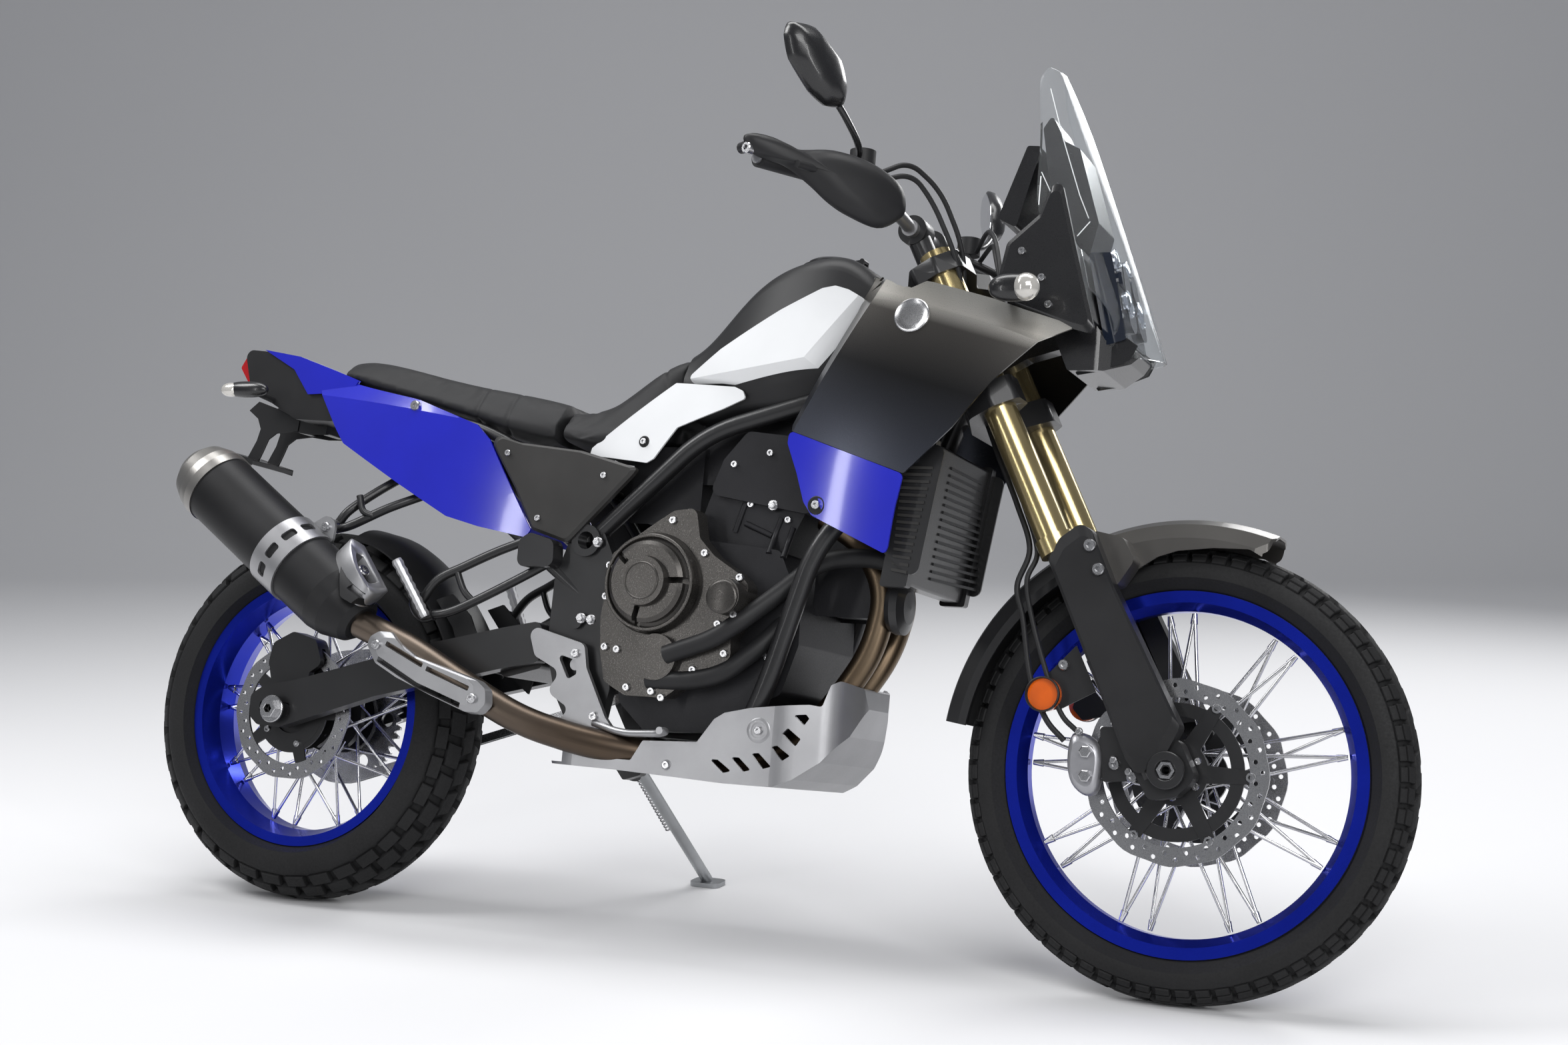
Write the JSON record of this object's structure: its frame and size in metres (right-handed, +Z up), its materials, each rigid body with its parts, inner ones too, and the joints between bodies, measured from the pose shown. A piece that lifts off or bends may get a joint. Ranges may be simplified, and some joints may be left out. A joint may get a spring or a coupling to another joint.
{
  "type": "adventure motorcycle",
  "caption": "Tall two-wheeled off-road touring motorcycle with wire wheels, long fork, tower screen and side stand, parked leaning on the stand",
  "frame": {"origin": "middle of the machine's footprint box on the floor, under the lean", "axes": "+X forward along the wheelbase, +Y to the rider's left, +Z up; the machine leans 12 degrees to +Y on its side stand"},
  "size_m": [2.2749, 0.9798, 1.47],
  "materials": {
    "tyre_rubber": "satin",
    "blue_rim": "satin",
    "black_metal": "satin",
    "cover_metal": "satin",
    "bare_steel": "satin",
    "silver_alloy": "satin",
    "gold_tube": "satin",
    "pipe_metal": "satin",
    "muffler_black": "matte",
    "black_plastic": "matte",
    "grey_plastic": "satin",
    "fairing_grey": "satin",
    "white_plastic": "gloss",
    "blue_plastic": "gloss",
    "seat_cover": "matte",
    "rubber": "matte",
    "clear_screen": "gloss",
    "lamp_glass": "gloss",
    "orange_lens": "gloss",
    "red_lens": "gloss",
    "cap_metal": "satin"
  },
  "bodies": {
    "chassis": {"main_frame": "black_metal", "swingarm": "black_metal", "crankcase": "black_metal", "cylinders": "black_metal", "engine_covers": "cover_metal", "radiator": "black_metal", "coolant_hoses": "rubber", "muffler": "muffler_black", "muffler_cap": "pipe_metal", "exhaust_pipes": "pipe_metal", "muffler_guards": "silver_alloy", "drive_chain": "bare_steel", "shock_absorber": "black_metal", "skid_plate": "silver_alloy", "fuel_tank": "black_plastic", "rider_seat": "seat_cover", "passenger_seat": "seat_cover", "tail_panels": "blue_plastic", "tail_unit": "black_plastic", "tail_lamp": "red_lens", "plate_bracket": "black_plastic", "rear_mudguard": "black_plastic", "side_covers": "grey_plastic", "tank_panels": "white_plastic", "tank_fairings": "fairing_grey", "fairing_corners": "blue_plastic", "front_tower": "black_plastic", "headlamps": "lamp_glass", "windscreen": "clear_screen", "horn": "black_metal", "indicators": "black_plastic", "rear_brake": "silver_alloy", "rider_pegs": "silver_alloy", "peg_hangers": "black_metal"},
    "steering": {"fork_tubes": "gold_tube", "fork_legs": "silver_alloy", "fork_clamps": "black_metal", "fork_guards": "black_plastic", "fork_reflectors": "orange_lens", "front_fender": "grey_plastic", "fender_tail": "black_plastic", "front_calipers": "silver_alloy", "handlebar": "silver_alloy", "bar_controls": "rubber", "hand_guards": "black_plastic", "mirrors": "black_plastic", "control_cables": "rubber"},
    "front_wheel": {"front_tyre": "tyre_rubber", "front_rim": "blue_rim", "front_hub": "black_metal", "front_discs": "bare_steel", "front_disc_carriers": "black_metal"},
    "rear_wheel": {"rear_tyre": "tyre_rubber", "rear_rim": "blue_rim", "rear_hub": "black_metal", "rear_disc": "bare_steel", "rear_disc_carrier": "black_metal", "rear_sprocket": "bare_steel"},
    "side_stand": {"side_stand": "bare_steel"},
    "fuel_cap": {"fuel_cap": "cap_metal"}
  },
  "joints": [
    {"name": "steering_turn", "type": "hinge", "parent": "chassis", "child": "steering", "pos_m": [0.43205, -0.09291, 0.89069], "axis": [-0.454, 0.1853, 0.8715], "range_deg": [-36, 36]},
    {"name": "front_wheel_spin", "type": "hinge", "parent": "steering", "child": "front_wheel", "pos_m": [0.7905, -0.20988, 0.3404], "axis": [0, 0.9781, -0.2079], "continuous": true},
    {"name": "rear_wheel_spin", "type": "hinge", "parent": "chassis", "child": "rear_wheel", "pos_m": [-0.8045, -0.21265, 0.32736], "axis": [0, 0.9781, -0.2079], "continuous": true},
    {"name": "fuel_cap_lid", "type": "hinge", "parent": "chassis", "child": "fuel_cap", "pos_m": [0.19094, -0.04083, 1.1357], "axis": [0, 0.9781, -0.2079], "range_deg": [0, 85]},
    {"name": "side_stand_fold", "type": "hinge", "parent": "chassis", "child": "side_stand", "pos_m": [-0.21993, -0.09063, 0.25977], "axis": [0.047, 0.7741, 0.6313], "range_deg": [0, 88]}
  ]
}
